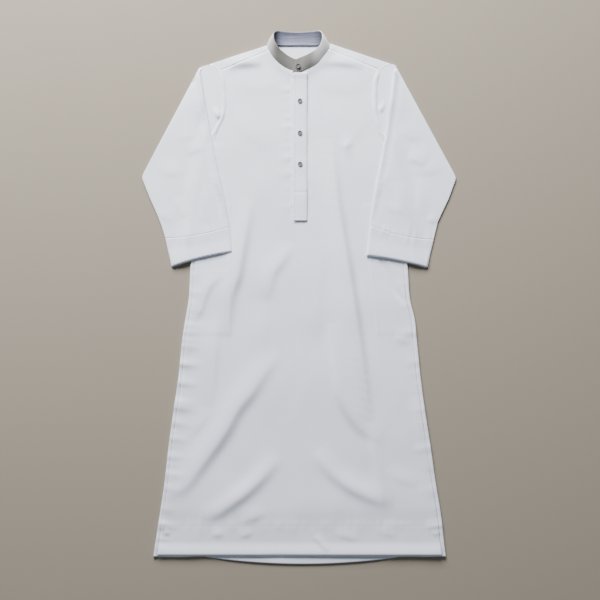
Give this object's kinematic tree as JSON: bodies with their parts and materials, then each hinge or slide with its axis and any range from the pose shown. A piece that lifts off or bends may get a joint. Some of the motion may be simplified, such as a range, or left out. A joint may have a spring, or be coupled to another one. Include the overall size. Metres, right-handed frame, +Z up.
{
  "type": "thobe robe",
  "caption": "Ankle-length long-sleeved thobe robe lying flat on its back, with stand collar, half-length buttoned placket, deep cuffs, yoke and inseam pockets",
  "frame": {"origin": "bottom centre of the whole garment's box, on the surface it lies on", "axes": "+Y runs along the garment towards the collar, +X to the wearer's left, +Z up from the surface, out of the front"},
  "size_m": [0.8308, 1.4101, 0.0307],
  "materials": {
    "white_cloth": "white plain-weave polyester-cotton, matt, very faint weave",
    "collar_cloth": "warm grey fine plain weave, matt",
    "collar_lining_cloth": "lavender-grey fine rib weave, matt",
    "button": "grey moulded polyester, satin"
  },
  "bodies": {
    "root": {"back_panel": "white_cloth", "front_panel": "white_cloth", "yoke": "white_cloth", "sleeve_right": "white_cloth", "sleeve_left": "white_cloth", "cuff_right": "white_cloth", "cuff_left": "white_cloth", "placket_top": "white_cloth", "placket_underlap": "white_cloth", "pocket_right": "white_cloth", "pocket_left": "white_cloth", "collar_outer": "collar_cloth", "collar_inner": "collar_lining_cloth", "button_1": "button", "button_2": "button", "button_3": "button", "button_4": "button"}
  },
  "joints": []
}
